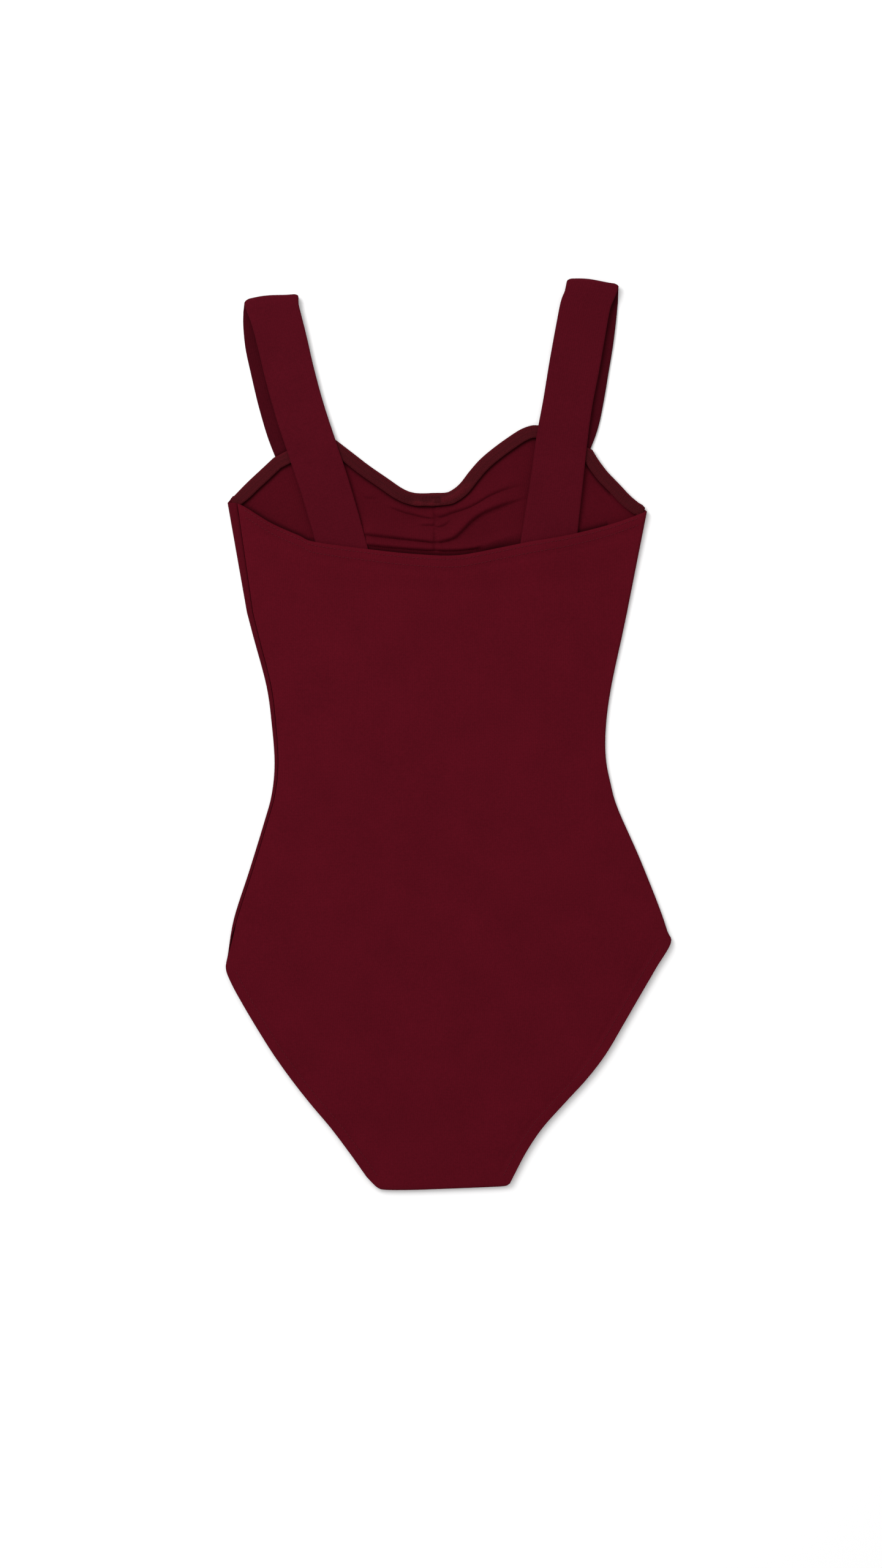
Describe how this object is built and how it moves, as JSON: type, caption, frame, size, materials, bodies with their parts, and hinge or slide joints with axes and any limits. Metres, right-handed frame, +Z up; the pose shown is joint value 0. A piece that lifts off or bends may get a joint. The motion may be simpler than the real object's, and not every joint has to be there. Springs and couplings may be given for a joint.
{
  "type": "tank leotard",
  "caption": "Sleeveless leotard laid flat with its back up: wide shoulder straps, gathered sweetheart front, straight back and turned elastic hems.",
  "frame": {"origin": "on the surface that the garment lies on, under the middle of its outline", "axes": "+X to the right seen from above, +Y from the crotch towards the shoulder straps, +Z up from the surface; the front lies down and the back faces up"},
  "size_m": [0.3409, 0.6986, 0.0065],
  "materials": {
    "jersey": "matte maroon cotton and elastane jersey, fine knit",
    "strap_cloth": "the same maroon jersey in two layers",
    "hem_cloth": "turned elastic hem with looper threads, matte maroon"
  },
  "bodies": {
    "root": {"back_panel": "jersey", "front_panel": "jersey", "strap_left": "strap_cloth", "strap_right": "strap_cloth", "neck_hem": "hem_cloth", "armhole_hem_left": "hem_cloth", "armhole_hem_right": "hem_cloth"}
  },
  "joints": []
}
